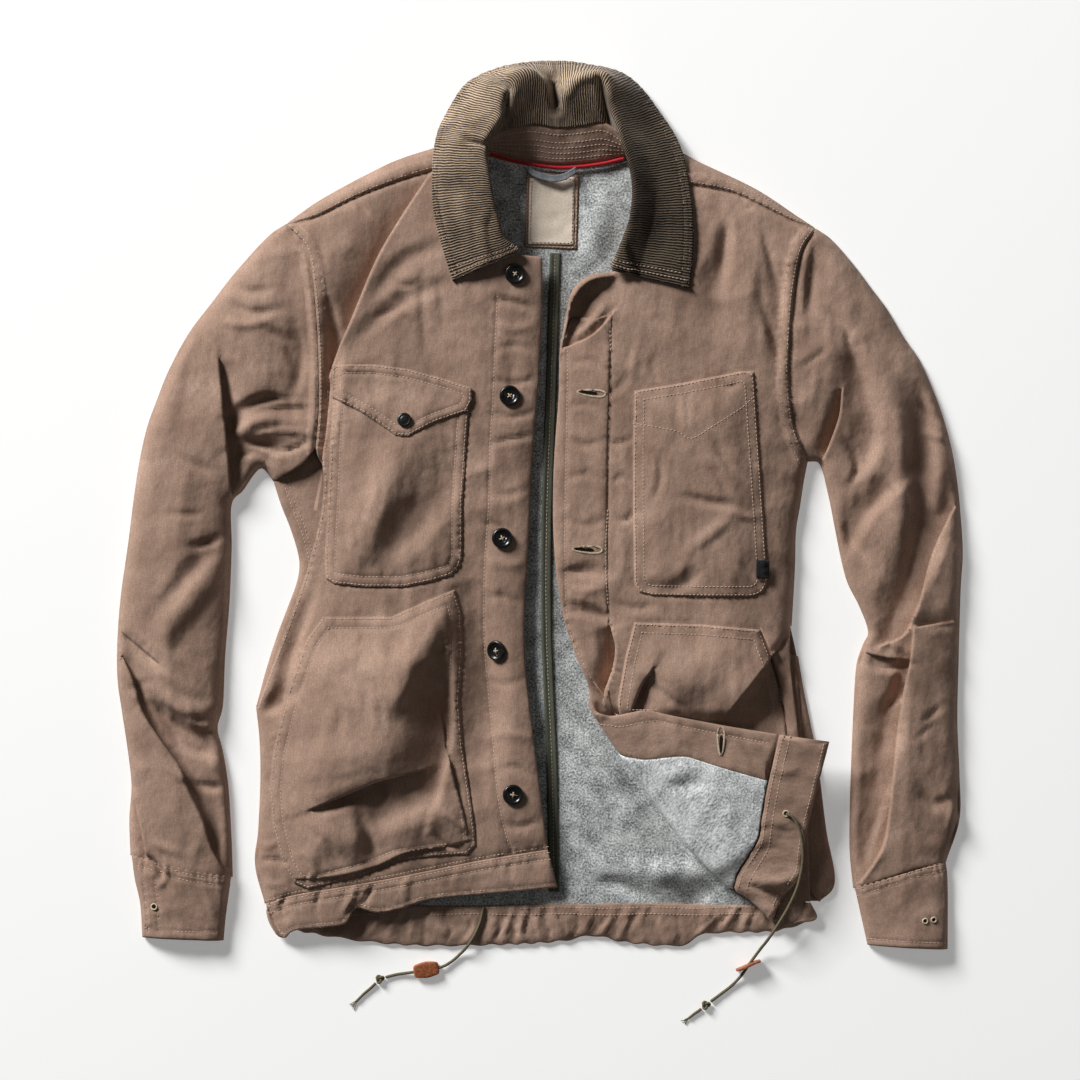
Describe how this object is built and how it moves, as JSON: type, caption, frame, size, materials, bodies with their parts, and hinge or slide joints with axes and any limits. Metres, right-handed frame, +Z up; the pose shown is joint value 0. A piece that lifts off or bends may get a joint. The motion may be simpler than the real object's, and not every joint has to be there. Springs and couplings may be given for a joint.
{
  "type": "chore jacket",
  "caption": "Men's hip-length canvas chore jacket with a corduroy collar, laid flat with its fronts open and the lower left front corner turned back over its fleece lining.",
  "frame": {"origin": "on the table under the middle of the jacket's outline, without the free drawcords", "axes": "+Z up from the table, +Y towards the collar, +X towards the wearer's left sleeve"},
  "size_m": [0.7781, 0.8837, 0.0425],
  "materials": {
    "canvas": "washed cotton duck, matt",
    "fleece": "speckled wool-blend lining, matt",
    "corduroy": "wide-wale corduroy, soft sheen",
    "tape": "twill tape, matt",
    "label_backing": "plain cotton, matt",
    "neck_label": "plain cotton, matt",
    "flag_label": "plain woven, matt",
    "piping": "corded satin",
    "herringbone": "herringbone tape, matt",
    "leather": "vegetable-tanned, satin",
    "cord": "braided cotton, matt",
    "button": "dark horn-like resin, satin",
    "snap": "dark enamelled cap, satin"
  },
  "bodies": {
    "root": {"back": "canvas", "back_hem_band": "canvas", "right_front": "canvas", "right_chest_pocket": "canvas", "chest_flap": "canvas", "right_hand_pocket": "canvas", "right_hem_band": "canvas", "right_yoke": "canvas", "right_side_panel": "canvas", "left_front": "canvas", "left_chest_pocket": "canvas", "left_hand_pocket": "canvas", "left_buttonhole_band": "canvas", "left_front_facing": "canvas", "left_hem_band": "canvas", "left_yoke": "canvas", "left_side_panel": "canvas", "right_top_sleeve": "canvas", "left_top_sleeve": "canvas", "right_under_sleeve": "canvas", "left_under_sleeve": "canvas", "right_cuff": "canvas", "left_cuff": "canvas", "collar_stand": "canvas", "back_lining": "fleece", "left_front_lining": "fleece", "collar": "corduroy", "centre_back_tape": "tape", "label_backing": "label_backing", "neck_label": "neck_label", "flag_label": "flag_label", "neck_piping": "piping", "hanger_loop": "herringbone", "right_toggle": "leather", "left_toggle": "leather", "right_drawcord": "cord", "right_drawcord_tail": "cord", "left_drawcord": "cord", "left_drawcord_tail": "cord", "right_knot": "cord", "left_knot": "cord", "chest_snap": "snap", "button_1": "button", "button_2": "button", "button_3": "button", "button_4": "button", "button_5": "button"}
  },
  "joints": []
}
